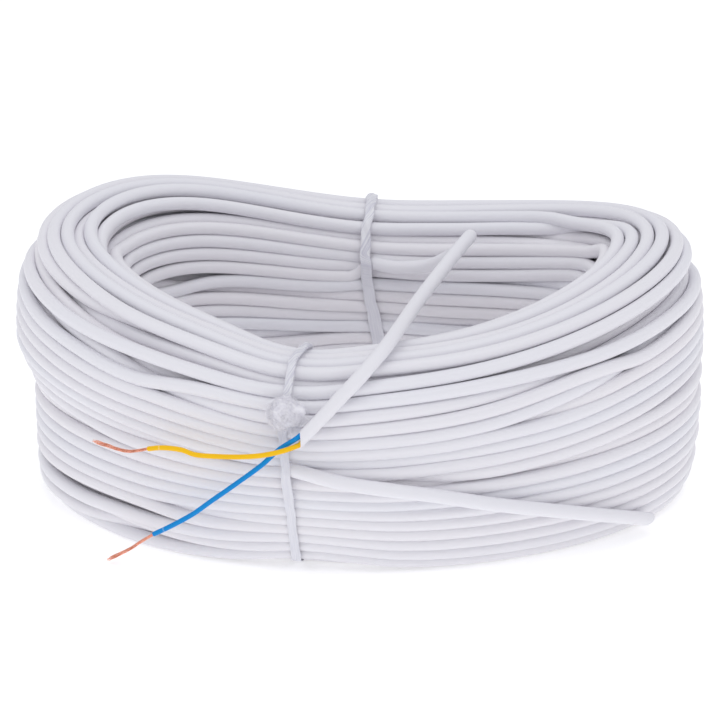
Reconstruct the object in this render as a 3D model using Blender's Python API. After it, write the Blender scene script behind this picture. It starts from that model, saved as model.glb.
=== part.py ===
"""Coil of round two-core flexible cable, wound flat as an oval and tied twice with twine.

Metres, +Z up. The coil lies on the plane Z = 0 with its bore upright, its long side along X
and the stripped end hanging over its front, towards -Y.
"""
import math

import bmesh
import bpy
import numpy as np
from mathutils import Matrix, Vector

# Cable
CABLE_DIAMETER = 0.0062
CORE_DIAMETER = 0.0022
STRANDS_DIAMETER = 0.0011
TUBE_SPACING = 2.0

# Winding: one closed bundle of turns around an upright bore
COIL_LENGTH = 0.3139
COIL_DEPTH = 0.224
BUNDLE_WIDTH = 0.055
BUNDLE_HEIGHT = 0.114
END_RISE = 0.0115
BACK_RISE = 0.0029
LEFT_SHOULDER_RISE = 0.0127
LEFT_SHOULDER_ANGLE = math.radians(132)
LEFT_SHOULDER_SPREAD = math.radians(34)
END_POINTING = 0.08
FOOT_DRAW_IN = 0.0055
LEFT_STEP = 0.0075
LEFT_STEP_HEIGHT = 0.0660
LEFT_STEP_SPAN = 0.0240
UPPER_SQUARENESS = 3.1
LOWER_SQUARENESS = 4.2
TIE_ROUNDING = 1.5
FLOOR_FLATTENING = 0.0030
GROOVE_DEPTH = 0.0017
GROOVE_SHARE = 0.55
STATIONS = 30

# Twine
TIE_WIDTH = 0.0042
TIE_THICKNESS = 0.0006
TIE_CLEARANCE = 0.0003
TIE_PINCH = 0.0026
TIE_FLANK = 0.0008
PINCH_SPREAD = 0.028
FRONT_TIE_X = -0.0285
BACK_TIE_X = 0.0060
KNOT_WIDTH = 0.0150
KNOT_THICKNESS = 0.0060
KNOT_HEIGHT = 0.0125
KNOT_BELOW_TOP = 0.0195
KNOT_CLEARANCE = 0.0003

# The bore's axis lies behind the middle of the part's depth, which the front ends add to
BORE_AXIS_Y = 0.0042

# Points on the centre lines of the free ends, chosen along their photographed routes
INNER_END_ROUTE = [
    (0.0095, 0.0570, 0.0847),
    (0.0155, 0.0555, 0.0850),
    (0.0226, 0.0515, 0.0863),
    (0.0329, 0.0465, 0.0893),
    (0.0429, 0.0391, 0.0973),
    (0.0495, 0.0304, 0.1076),
    (0.0505, 0.0223, 0.1122),
    (0.0470, 0.0112, 0.1125),
    (0.0359, -0.0155, 0.1085),
    (0.0249, -0.0484, 0.1065),
    (0.0165, -0.0785, 0.1058),
    (0.0102, -0.0947, 0.1030),
    (0.0051, -0.1012, 0.0992),
    (-0.0008, -0.1063, 0.0940),
    (-0.0076, -0.1092, 0.0875),
    (-0.0161, -0.1125, 0.0789),
    (-0.0254, -0.1145, 0.0695),
]
OUTER_END_ROUTE = [
    (-0.0280, -0.1102, 0.0512),
    (-0.0081, -0.1121, 0.0485),
    (0.0150, -0.1131, 0.0452),
    (0.0343, -0.1102, 0.0413),
    (0.0560, -0.1056, 0.0357),
    (0.0781, -0.0976, 0.0295),
    (0.1008, -0.0854, 0.0216),
    (0.1160, -0.0738, 0.0149),
    (0.1284, -0.0611, 0.0080),
]
YELLOW_CORE_ROUTE = [
    (-0.0249, -0.1148, 0.0682),
    (-0.0263, -0.1149, 0.0671),
    (-0.0322, -0.1166, 0.0655),
    (-0.0382, -0.1163, 0.0638),
    (-0.0442, -0.1150, 0.0623),
    (-0.0519, -0.1127, 0.0609),
    (-0.0606, -0.1095, 0.0597),
    (-0.0702, -0.1061, 0.0590),
    (-0.0766, -0.1042, 0.0605),
    (-0.0846, -0.1006, 0.0599),
    (-0.0912, -0.0974, 0.0580),
]
YELLOW_STRANDS_ROUTE = [
    (-0.0916, -0.0972, 0.0579),
    (-0.0957, -0.0953, 0.0563),
    (-0.0993, -0.0939, 0.0553),
    (-0.1033, -0.0923, 0.0552),
    (-0.1079, -0.0900, 0.0558),
    (-0.1164, -0.0848, 0.0565),
]
BLUE_CORE_ROUTE = [
    (-0.0269, -0.1144, 0.0702),
    (-0.0346, -0.1119, 0.0638),
    (-0.0424, -0.1111, 0.0560),
    (-0.0544, -0.1097, 0.0460),
    (-0.0645, -0.1073, 0.0374),
    (-0.0720, -0.1053, 0.0308),
    (-0.0814, -0.1025, 0.0240),
    (-0.0897, -0.0994, 0.0184),
]
BLUE_STRANDS_ROUTE = [
    (-0.0901, -0.0992, 0.0181),
    (-0.0955, -0.0963, 0.0134),
    (-0.1003, -0.0940, 0.0090),
    (-0.1061, -0.0909, 0.0045),
    (-0.1116, -0.0892, 0.0010),
]


def signed_power(value, power):
    """Raise the size of a number to a power and keep its sign."""
    return math.copysign(abs(value) ** power, value)


def path_frame(angle):
    """Centre of the bundle in plan at an angle round the bore, and its outward normal."""
    half_length = (COIL_LENGTH - BUNDLE_WIDTH) / 2
    half_depth = (COIL_DEPTH - BUNDLE_WIDTH) / 2
    cos, sin = math.cos(angle), math.sin(angle)
    narrowing = 1 - END_POINTING * cos * cos
    slope_x = -half_length * sin
    slope_y = half_depth * (cos * narrowing + 2 * END_POINTING * cos * sin * sin)
    size = math.hypot(slope_x, slope_y)
    centre = (half_length * cos, half_depth * sin * narrowing)
    return centre, (slope_y / size, -slope_x / size)


def tie_angles():
    """Angles round the bore of the front tie and the back tie."""
    half_length = (COIL_LENGTH - BUNDLE_WIDTH) / 2
    return -math.acos(FRONT_TIE_X / half_length), math.acos(BACK_TIE_X / half_length)


def turn_between(angle, other):
    """Smallest turn from one angle to another, without its sign."""
    return abs((angle - other + math.pi) % math.tau - math.pi)


def pinch_at(angle):
    """How strongly the ties draw the bundle in at an angle, from 0 to 1."""
    half_length = (COIL_LENGTH - BUNDLE_WIDTH) / 2
    held = TIE_WIDTH / 2 + TIE_FLANK
    strongest = 0.0
    for tie in tie_angles():
        away = turn_between(angle, tie) * half_length
        past = max(away - held, 0.0) / PINCH_SPREAD
        strongest = max(strongest, math.exp(-past * past))
    return strongest


def section_size(angle):
    """Width, height and floor lift of the bundle at an angle round the bore."""
    shoulder = turn_between(angle, LEFT_SHOULDER_ANGLE) / LEFT_SHOULDER_SPREAD
    height = BUNDLE_HEIGHT + END_RISE * math.cos(2 * angle) + BACK_RISE * math.sin(angle)
    height += LEFT_SHOULDER_RISE * math.exp(-shoulder * shoulder)
    pinch = pinch_at(angle)
    lift = pinch * (TIE_THICKNESS + 2 * TIE_CLEARANCE)
    return BUNDLE_WIDTH - 2 * pinch * TIE_PINCH, height - pinch * TIE_PINCH, lift


def left_step(angle, up):
    """How far the lower turns at the left end lie back under the upper ones."""
    share = min(max((LEFT_STEP_HEIGHT - up) / LEFT_STEP_SPAN + 0.5, 0.0), 1.0)
    return LEFT_STEP * max(-math.cos(angle), 0.0) ** 2 * share * share * (3 - 2 * share)


def section_point(angle, turn, inset=0.0):
    """Point of the bundle's section, as distance out from the path and height."""
    width, height, lift = section_size(angle)
    squareness = UPPER_SQUARENESS
    if math.sin(turn) <= 0:
        squareness = LOWER_SQUARENESS - TIE_ROUNDING * pinch_at(angle)
    power = 2 / squareness
    out = width / 2 * signed_power(math.cos(turn), power)
    up = (height + FLOOR_FLATTENING) / 2 * (1 + signed_power(math.sin(turn), power)) - FLOOR_FLATTENING
    normal_out = signed_power(math.cos(turn), 2 - power) / width
    normal_up = signed_power(math.sin(turn), 2 - power) / height
    if up < 0:
        up, normal_out, normal_up = 0.0, 0.0, -1.0
    size = math.hypot(normal_out, normal_up)
    floor_share = 1 - lift / height
    out -= FOOT_DRAW_IN * (math.sin(angle) * (1 - up / height)) ** 2 + left_step(angle, up)
    return out - inset * normal_out / size, lift + up * floor_share - inset * normal_up / size


def section_turns():
    """Parameters of the two crest edges and the groove of every turn round the section."""
    steps = 2880
    turns = [math.tau * i / steps - math.pi / 2 for i in range(steps + 1)]
    points = [section_point(0.0, turn) for turn in turns]
    reach = [0.0]
    for start, end in zip(points, points[1:]):
        reach.append(reach[-1] + math.dist(start, end))
    count = round(reach[-1] / CABLE_DIAMETER)
    pitch = reach[-1] / count
    crest = (1 - GROOVE_SHARE) / 2
    crests, grooves = [], []
    for i in range(count):
        for offset in (-crest, crest):
            crests.append(float(np.interp((i + offset) * pitch % reach[-1], reach, turns)))
        grooves.append(float(np.interp((i + 0.5) * pitch, reach, turns)))
    return crests, grooves


def world_point(angle, out, up):
    """Place a point of the section at an angle round the bore."""
    (x, y), (normal_x, normal_y) = path_frame(angle)
    return (x + normal_x * out, y + normal_y * out, up)


def station_angles():
    """Angles of the winding's sections, with a pair beside each tie."""
    half_length = (COIL_LENGTH - BUNDLE_WIDTH) / 2
    held = (TIE_WIDTH / 2 + TIE_FLANK) / half_length
    step = math.tau / STATIONS
    angles = [i * step for i in range(STATIONS)]
    for tie in tie_angles():
        angles = [angle for angle in angles if turn_between(angle, tie) > held + step / 3]
        angles += [(tie - held) % math.tau, (tie + held) % math.tau]
    return sorted(angles)


def make_material(name, colour, roughness, metallic=0.0):
    material = bpy.data.materials.new(name)
    material.use_nodes = True
    shader = material.node_tree.nodes["Principled BSDF"]
    shader.inputs["Base Color"].default_value = (*colour, 1.0)
    shader.inputs["Roughness"].default_value = roughness
    shader.inputs["Metallic"].default_value = metallic
    return material


def add_object(name, mesh, material):
    piece = bpy.data.objects.new(name, mesh)
    mesh.materials.append(material)
    bpy.context.collection.objects.link(piece)
    return piece


def make_closed_ring(name, sections, material, smooth_angle):
    """Join a closed run of closed sections into one solid ring."""
    mesh = bpy.data.meshes.new(name)
    shape = bmesh.new()
    rows = [[shape.verts.new(point) for point in section] for section in sections]
    size = len(rows[0])
    for i, row in enumerate(rows):
        after = rows[(i + 1) % len(rows)]
        for j in range(size):
            k = (j + 1) % size
            shape.faces.new((row[j], after[j], after[k], row[k]))
    bmesh.ops.recalc_face_normals(shape, faces=shape.faces)
    shape.to_mesh(mesh)
    shape.free()
    mesh.shade_smooth()
    mesh.set_sharp_from_angle(angle=smooth_angle)
    return add_object(name, mesh, material)


def make_winding(material):
    """The bundle of turns as one ring, with a crest and a groove for each turn that shows."""
    crests, grooves = section_turns()
    sections = []
    for angle in station_angles():
        section = []
        for i, groove in enumerate(grooves):
            for crest in crests[2 * i:2 * i + 2]:
                section.append(world_point(angle, *section_point(angle, crest)))
            section.append(world_point(angle, *section_point(angle, groove, GROOVE_DEPTH)))
        sections.append(section)
    return make_closed_ring("coil_winding", sections, material, math.radians(60))


def make_tie(name, angle, material):
    """A flat band of twine drawn tight round the bundle at one angle."""
    (x, y), (normal_x, normal_y) = path_frame(angle)
    crests, _ = section_turns()
    sections = []
    for crest in crests:
        inner = section_point(angle, crest, -TIE_CLEARANCE)
        outer = section_point(angle, crest, -TIE_CLEARANCE - TIE_THICKNESS)
        corners = []
        for (out, up), side in ((inner, 1), (outer, 1), (outer, -1), (inner, -1)):
            along = side * TIE_WIDTH / 2
            corners.append((x + normal_x * out - normal_y * along,
                            y + normal_y * out + normal_x * along, up))
        sections.append(corners)
    return make_closed_ring(name, sections, material, math.radians(40))


def outer_turn_at(angle, height):
    """Parameter of the section's outer side at a height above the floor."""
    low, high = -math.pi / 2, math.pi / 2
    for _ in range(40):
        middle = (low + high) / 2
        if section_point(angle, middle)[1] < height:
            low = middle
        else:
            high = middle
    return low


def make_knot(angle, material):
    """The frayed knot as a flattened lump that lies on the front tie."""
    top = section_point(angle, math.pi / 2)[1]
    turn = outer_turn_at(angle, top - KNOT_BELOW_TOP)
    surface = section_point(angle, turn)
    depth = TIE_CLEARANCE + TIE_THICKNESS + KNOT_CLEARANCE + KNOT_THICKNESS / 2
    middle = section_point(angle, turn, -depth)
    facing = Vector(world_point(angle, *middle)) - Vector(world_point(angle, *surface))
    facing.normalize()
    across = Vector((0, 0, 1)).cross(facing).normalized()
    upright = facing.cross(across)
    bpy.ops.mesh.primitive_ico_sphere_add(subdivisions=2, radius=0.5)
    knot = bpy.context.object
    knot.name = "tie_knot"
    knot.data.name = "tie_knot"
    knot.data.transform(Matrix.Diagonal((KNOT_WIDTH, KNOT_THICKNESS, KNOT_HEIGHT, 1)))
    turned = Matrix((across, facing, upright)).transposed()
    if turned.determinant() < 0:
        turned = Matrix((-across, facing, upright)).transposed()
    knot.matrix_world = Matrix.Translation(world_point(angle, *middle)) @ turned.to_4x4()
    knot.data.materials.append(material)
    knot.data.shade_smooth()
    return knot


def smooth_route(points, spacing):
    """Points at an even spacing on a smooth curve through the route's own points."""
    knots = np.array(points, float)
    ends = np.vstack([2 * knots[0] - knots[1], knots, 2 * knots[-1] - knots[-2]])
    curve = [knots[0]]
    for a, b, c, d in zip(ends, ends[1:], ends[2:], ends[3:]):
        for t in np.linspace(0, 1, 25)[1:]:
            curve.append(0.5 * (2 * b + (c - a) * t + (2 * a - 5 * b + 4 * c - d) * t ** 2
                                + (3 * b - a - 3 * c + d) * t ** 3))
    curve = np.array(curve)
    reach = np.concatenate([[0], np.cumsum(np.linalg.norm(np.diff(curve, axis=0), axis=1))])
    marks = np.linspace(0, reach[-1], max(round(reach[-1] / spacing), 2) + 1)
    return [tuple(float(np.interp(mark, reach, curve[:, axis])) for axis in range(3)) for mark in marks]


def make_tube(name, route, diameter, material):
    """A round cord with flat ends along a route."""
    points = smooth_route(route, TUBE_SPACING * diameter)
    curve = bpy.data.curves.new(name, "CURVE")
    curve.dimensions = "3D"
    curve.bevel_depth = diameter / 2
    curve.bevel_resolution = 2
    curve.use_fill_caps = True
    spline = curve.splines.new("POLY")
    spline.points.add(len(points) - 1)
    for point, place in zip(spline.points, points):
        point.co = (*place, 1.0)
    spline.use_smooth = True
    return add_object(name, curve, material)


def main():
    for piece in list(bpy.data.objects):
        bpy.data.objects.remove(piece)
    sheath = make_material("white_sheath", (0.86, 0.86, 0.88), 0.45)
    twine = make_material("white_twine", (0.88, 0.88, 0.90), 0.35)
    yellow = make_material("yellow_insulation", (0.90, 0.50, 0.02), 0.40)
    blue = make_material("blue_insulation", (0.0, 0.25, 0.72), 0.40)
    copper = make_material("copper_strands", (0.80, 0.36, 0.22), 0.35, 1.0)

    front, back = tie_angles()
    pieces = [
        make_winding(sheath),
        make_tie("front_tie", front, twine),
        make_tie("back_tie", back, twine),
        make_knot(front, twine),
        make_tube("inner_end", INNER_END_ROUTE, CABLE_DIAMETER, sheath),
        make_tube("outer_end", OUTER_END_ROUTE, CABLE_DIAMETER, sheath),
        make_tube("yellow_core", YELLOW_CORE_ROUTE, CORE_DIAMETER, yellow),
        make_tube("blue_core", BLUE_CORE_ROUTE, CORE_DIAMETER, blue),
        make_tube("yellow_copper_strands", YELLOW_STRANDS_ROUTE, STRANDS_DIAMETER, copper),
        make_tube("blue_copper_strands", BLUE_STRANDS_ROUTE, STRANDS_DIAMETER, copper),
    ]
    bore_axis = bpy.data.objects.new("bore_axis", None)
    bore_axis.location.y = BORE_AXIS_Y
    bpy.context.collection.objects.link(bore_axis)
    for piece in pieces:
        piece.parent = bore_axis


main()
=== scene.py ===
"""Dresses a tied coil of white two-core cable: its turns, free ends, cores, twine and finishes.

Metres, +Z up. The coil lies on the plane Z = 0, its long side along X and its stripped end
hanging over the front, towards -Y. Angles round the bore grow from +X over +Y.
"""
import functools
import math

import bpy
import numpy as np
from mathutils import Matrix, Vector


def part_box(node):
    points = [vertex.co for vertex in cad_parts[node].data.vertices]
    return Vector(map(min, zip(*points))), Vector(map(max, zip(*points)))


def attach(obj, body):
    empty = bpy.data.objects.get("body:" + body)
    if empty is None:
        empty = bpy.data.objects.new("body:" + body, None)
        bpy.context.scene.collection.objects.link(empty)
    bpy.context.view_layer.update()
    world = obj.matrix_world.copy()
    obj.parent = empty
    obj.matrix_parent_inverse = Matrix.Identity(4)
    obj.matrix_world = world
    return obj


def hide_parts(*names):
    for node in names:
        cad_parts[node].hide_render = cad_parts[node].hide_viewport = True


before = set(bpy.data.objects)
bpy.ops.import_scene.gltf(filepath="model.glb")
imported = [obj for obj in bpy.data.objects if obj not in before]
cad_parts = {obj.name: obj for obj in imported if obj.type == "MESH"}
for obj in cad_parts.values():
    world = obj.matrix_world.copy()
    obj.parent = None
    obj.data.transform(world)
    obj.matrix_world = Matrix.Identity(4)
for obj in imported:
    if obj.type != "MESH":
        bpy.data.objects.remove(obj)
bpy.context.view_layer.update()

bl_info = {
    "name": "Tied cable coil",
    "version": (1, 0, 0),
    "blender": (4, 5, 0),
    "location": "View3D > Sidebar > Cable Coil",
    "description": "Lays the turns of a tied coil of cable and dresses it",
    "category": "Object",
}

BODY = "root"
BORE_AXIS = np.array([0.0, 0.0042, 0.0])

# Centre lines of the free ends, from the bore's axis. Each begins where the last turn passes
# under a tie.
INNER_END_ROUTE = [
    (0.0060, 0.0620, 0.0846),
    (0.0155, 0.0555, 0.0850),
    (0.0226, 0.0515, 0.0863),
    (0.0329, 0.0465, 0.0893),
    (0.0429, 0.0391, 0.0973),
    (0.0495, 0.0304, 0.1076),
    (0.0505, 0.0223, 0.1122),
    (0.0470, 0.0112, 0.1125),
    (0.0359, -0.0155, 0.1085),
    (0.0249, -0.0484, 0.1065),
    (0.0165, -0.0785, 0.1058),
    (0.0102, -0.0947, 0.1030),
    (0.0051, -0.1012, 0.0992),
    (-0.0008, -0.1063, 0.0940),
    (-0.0076, -0.1092, 0.0875),
    (-0.0161, -0.1125, 0.0789),
    (-0.0254, -0.1145, 0.0695),
]
OUTER_END_ROUTE = [
    (-0.0316, -0.1045, 0.0520),
    (-0.0081, -0.1121, 0.0485),
    (0.0150, -0.1131, 0.0452),
    (0.0343, -0.1102, 0.0413),
    (0.0560, -0.1056, 0.0357),
    (0.0781, -0.0976, 0.0295),
    (0.1008, -0.0854, 0.0216),
    (0.1160, -0.0738, 0.0149),
    (0.1284, -0.0611, 0.0080),
]
YELLOW_CORE_ROUTE = [
    (-0.0218, -0.1140, 0.0715),
    (-0.0249, -0.1148, 0.0682),
    (-0.0263, -0.1149, 0.0671),
    (-0.0322, -0.1166, 0.0655),
    (-0.0382, -0.1163, 0.0638),
    (-0.0442, -0.1150, 0.0623),
    (-0.0519, -0.1127, 0.0609),
    (-0.0606, -0.1095, 0.0597),
    (-0.0702, -0.1061, 0.0590),
    (-0.0766, -0.1042, 0.0605),
    (-0.0846, -0.1006, 0.0599),
    (-0.0912, -0.0974, 0.0580),
]
YELLOW_STRANDS_ROUTE = [
    (-0.0916, -0.0972, 0.0579),
    (-0.0957, -0.0953, 0.0563),
    (-0.0993, -0.0939, 0.0553),
    (-0.1033, -0.0923, 0.0552),
    (-0.1079, -0.0900, 0.0558),
    (-0.1164, -0.0848, 0.0565),
]
BLUE_CORE_ROUTE = [
    (-0.0234, -0.1138, 0.0731),
    (-0.0269, -0.1144, 0.0702),
    (-0.0346, -0.1119, 0.0638),
    (-0.0424, -0.1111, 0.0560),
    (-0.0544, -0.1097, 0.0460),
    (-0.0645, -0.1073, 0.0374),
    (-0.0720, -0.1053, 0.0308),
    (-0.0814, -0.1025, 0.0240),
    (-0.0897, -0.0994, 0.0184),
]
BLUE_STRANDS_ROUTE = [
    (-0.0901, -0.0992, 0.0181),
    (-0.0955, -0.0963, 0.0134),
    (-0.1003, -0.0940, 0.0090),
    (-0.1061, -0.0909, 0.0045),
    (-0.1116, -0.0892, 0.0010),
]


# ---- Settings ----

def number(name, description, default, **options):
    """A setting that is a plain number."""
    return bpy.props.FloatProperty(name=name, description=description, default=default, **options)


def length(name, description, default):
    """A setting in metres, not below zero."""
    return number(name, description, default, min=0.0, subtype="DISTANCE", unit="LENGTH", precision=5)


def degrees(name, description, default):
    """A setting for an angle, whose default is given in degrees."""
    return number(name, description, math.radians(default), subtype="ANGLE")


def whole(name, description, default, **options):
    """A setting that is a whole number."""
    return bpy.props.IntProperty(name=name, description=description, default=default, **options)


def colour(name, description, default):
    """A colour setting, in linear light."""
    return bpy.props.FloatVectorProperty(
        name=name, description=description, default=default, size=3, min=0.0, max=1.0, subtype="COLOR")


class CableSettings(bpy.types.PropertyGroup):
    """Sizes and colours of the cable."""
    diameter: length("Cable diameter", "Across the round sheath", 0.0062)
    sheath_wall: length("Sheath wall", "Thickness of the sheath round the cores", 0.0008)
    core_diameter: length("Core diameter", "Across one insulated core", 0.0022)
    strand_diameter: length("Strand diameter", "Across one copper strand", 0.00021)
    strands: whole("Strands", "Copper strands in a core", 22, min=3)
    sheath_colour: colour("Sheath", "Colour of the sheath", (0.825, 0.815, 0.848))
    yellow_colour: colour("Yellow core", "Colour of the yellow insulation", (0.96, 0.545, 0.006))
    blue_colour: colour("Blue core", "Colour of the blue insulation", (0.0, 0.25, 0.66))
    copper_colour: colour("Copper", "Colour of the bare strands", (0.95, 0.45, 0.32))


class WindingSettings(bpy.types.PropertyGroup):
    """Sizes of the bundle of turns."""
    coil_length: length("Coil length", "Along X, over the turns", 0.3139)
    coil_depth: length("Coil depth", "Along Y, over the turns", 0.224)
    width: length("Bundle width", "From the bore to the outside", 0.055)
    height: length("Bundle height", "Mean height of the bundle", 0.114)
    end_rise: length("End rise", "How much higher the two ends stand", 0.0115)
    back_rise: length("Back rise", "How much higher the back stands", 0.0029)
    shoulder_rise: length("Shoulder rise", "Extra height of the back left shoulder", 0.0127)
    shoulder_angle: degrees("Shoulder angle", "Where the shoulder is, round the bore", 132)
    shoulder_spread: degrees("Shoulder spread", "How far round the bore the shoulder reaches", 34)
    end_pointing: number(
        "End pointing", "How much narrower than an ellipse the ends are", 0.08, subtype="FACTOR")
    foot_draw_in: length("Foot draw-in", "How far the foot lies in at the front and back", 0.0055)
    left_step: length("Left step", "How far the lower turns lie back at the left end", 0.0075)
    left_step_height: length("Left step height", "Height of the step's middle", 0.0660)
    left_step_span: length("Left step span", "Height over which the step is made", 0.0240)
    upper_squareness: number(
        "Upper squareness", "How square the section's upper half is", 3.1, min=2)
    lower_squareness: number(
        "Lower squareness", "How square the section's lower half is", 4.2, min=2)
    left_squareness: number(
        "Left squareness", "How much squarer the lower half is at the left end", 4.5, min=0)
    tie_rounding: number("Tie rounding", "How much rounder the lower half is at a tie", 1.5, min=0)
    floor_flattening: length("Floor flattening", "How much the floor flattens the section", 0.0030)
    columns: whole("Columns", "Turns side by side across the bundle", 9, min=4)
    rows: whole("Rows", "Turns on top of each other", 16, min=4)
    weave: number("Weave", "How far turns wander, in cable diameters", 0.4, min=0)
    seed: whole("Seed", "Picks another lay of the turns", 3)


class TwineSettings(bpy.types.PropertyGroup):
    """Sizes and colour of the two ties and the knot."""
    front_width: length("Front width", "Width of the front twine", 0.0041)
    back_width: length("Back width", "Width of the back twine", 0.0056)
    flat_thickness: length("Flat thickness", "Of the flat twine", 0.0005)
    twisted_thickness: length("Twisted thickness", "Of the twisted twine", 0.0022)
    clearance: length("Clearance", "Between the turns and the twine", 0.00015)
    pinch: length("Pinch", "How far a tie draws each side of the bundle in", 0.0026)
    front_dip: length("Front dip", "How far the front tie draws the bundle's top down", 0.0048)
    back_dip: length("Back dip", "How far the back tie draws the bundle's top down", 0.0006)
    lift: length("Lift", "How far the flat twine under the bundle lifts it", 0.0012)
    pinch_spread: length("Pinch spread", "How far from a tie the bundle is drawn in", 0.028)
    front_x: number("Front tie", "Place of the front tie along X", -0.0285, unit="LENGTH")
    back_x: number("Back tie", "Place of the back tie along X", 0.0060, unit="LENGTH")
    knot_width: length("Knot width", "Across the frayed knot", 0.0175)
    knot_height: length("Knot height", "Height of the frayed knot", 0.0155)
    knot_thickness: length("Knot thickness", "How far the knot stands out", 0.0070)
    knot_shift: length("Knot shift", "How far right of its tie the knot lies", 0.0016)
    fibres: whole("Fibres", "Loose fibres of the knot", 1100, min=0)
    twine_colour: colour("Twine", "Colour of the twine", (0.76, 0.755, 0.805))


class StageSettings(bpy.types.PropertyGroup):
    """Camera, floor and lights."""
    camera_elevation: degrees("Camera elevation", "Angle of the view above the floor", 22)
    camera_distance: length("Camera distance", "From the middle of the coil", 1.426)
    target_height: length("Target height", "Height that the camera looks at", 0.058)
    focal_length: number(
        "Focal length", "On a sensor 36 mm wide, in millimetres", 155.2, unit="CAMERA")
    shift_up: number("Shift", "Upward shift of the lens, as a share of the width", 0.0056)
    floor_colour: colour("Floor", "Colour of the floor", (0.93, 0.93, 0.93))
    floor_glow: number(
        "Floor glow", "Light that the floor gives, as a light table does", 0.32, min=0)
    sky_colour: colour("Sky colour", "Tint of the even light", (0.95, 0.965, 1.0))
    sky_light: number("Sky light", "Even light from all round", 0.73)
    key_power: number("Key power", "Power of the large soft light overhead", 6.5, unit="POWER")
    fill_power: number("Fill power", "Power of the light from the left", 0.8, unit="POWER")


SETTINGS = {
    "coil_cable": CableSettings,
    "coil_winding": WindingSettings,
    "coil_twine": TwineSettings,
    "coil_stage": StageSettings,
}


# ---- Finishes ----

class Link:
    """A node's output, which takes part in sums with numbers and other outputs."""

    def __init__(self, finish, socket):
        self.finish = finish
        self.socket = socket

    def math(self, operation, *values):
        """A Math node on numbers and links."""
        names = dict(enumerate(values))
        return self.finish.node("Math", {"operation": operation}, names)

    def __add__(self, other):
        return self.math("ADD", self, other)

    __radd__ = __add__

    def __sub__(self, other):
        return self.math("SUBTRACT", self, other)

    def __rsub__(self, other):
        return self.math("SUBTRACT", other, self)

    def __mul__(self, other):
        return self.math("MULTIPLY", self, other)

    __rmul__ = __mul__


class Finish:
    """The node tree of one material."""

    def __init__(self, name, shader_values):
        self.material = bpy.data.materials.new(name)
        self.material.use_nodes = True
        self.tree = self.material.node_tree
        self.shader = self.tree.nodes["Principled BSDF"]
        for socket, value in shader_values.items():
            self.feed(self.shader, socket, value)

    def feed(self, node, name, value):
        """Give a socket, known by its number, identifier or name, a value or a link."""
        if isinstance(name, int):
            socket = node.inputs[name]
        else:
            known = {s.identifier: s for s in node.inputs}
            socket = known.get(name) or node.inputs[name]
        if isinstance(value, Link):
            self.tree.links.new(value.socket, socket)
        elif hasattr(value, "__len__") and len(socket.default_value) == 4 and len(value) == 3:
            socket.default_value = (*value, 1.0)
        else:
            socket.default_value = value

    def node(self, kind, settings=None, values=None, output=0):
        """A new node: its settings first, then what its sockets hold."""
        node = self.tree.nodes.new("ShaderNode" + kind)
        for name, value in (settings or {}).items():
            if name == "stops":
                self.set_stops(node.color_ramp, value)
            else:
                setattr(node, name, value)
        for name, value in (values or {}).items():
            self.feed(node, name, value)
        if isinstance(output, int):
            return Link(self, node.outputs[output])
        return Link(self, next(s for s in node.outputs if output in (s.identifier, s.name)))

    def set_stops(self, ramp, stops):
        """Give a ramp its stops, each a place and a colour."""
        while len(ramp.elements) < len(stops):
            ramp.elements.new(1.0)
        for element, (place, value) in zip(ramp.elements, stops):
            element.position = place
            element.color = (*value, 1.0)

    def place(self):
        """Place on the object, in metres."""
        return self.node("TexCoord", output="Object")

    def stored(self, name):
        """A number that the mesh holds at each point."""
        return self.node("Attribute", {"attribute_name": name}, output="Fac")

    def stored_place(self, name):
        """A vector that the mesh holds at each point."""
        return self.node("Attribute", {"attribute_name": name}, output="Vector")

    def noise(self, where, scale, detail=2.0, roughness=0.5):
        """Soft noise from 0 to 1."""
        return self.node("TexNoise", {}, {"Vector": where, "Scale": scale, "Detail": detail,
                                          "Roughness": roughness})

    def stretched(self, where, factors, detail=2.0, roughness=0.5):
        """Noise with another scale along each axis."""
        scaled = self.node("VectorMath", {"operation": "MULTIPLY"}, {0: where, 1: factors})
        return self.noise(scaled, 1.0, detail, roughness)

    def ramp(self, value, stops):
        """From one colour to the next over the stops."""
        return self.node("ValToRGB", {"stops": stops}, {"Fac": value})

    def spread(self, value, low, high, to_low, to_high):
        """Carry one range of numbers over to another."""
        return self.node("MapRange", {}, {"Value": value, "From Min": low, "From Max": high,
                                          "To Min": to_low, "To Max": to_high})

    def blend(self, mask, first, second):
        """From one colour to another."""
        return self.node("Mix", {"data_type": "RGBA"},
                         {"Factor_Float": mask, "A_Color": first, "B_Color": second}, "Result_Color")

    def bump(self, height, strength, distance):
        """Normals of a relief."""
        return self.node("Bump", {}, {"Strength": strength, "Distance": distance, "Height": height})

    def set(self, **sockets):
        """Feed the shader's sockets and return the finished material."""
        for name, value in sockets.items():
            self.feed(self.shader, name.replace("_", " "), value)
        return self.material


def tinted(base, factors):
    """A colour times a factor for each channel."""
    return tuple(min(max(value * factor, 0.0), 1.0) for value, factor in zip(base, factors))


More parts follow.
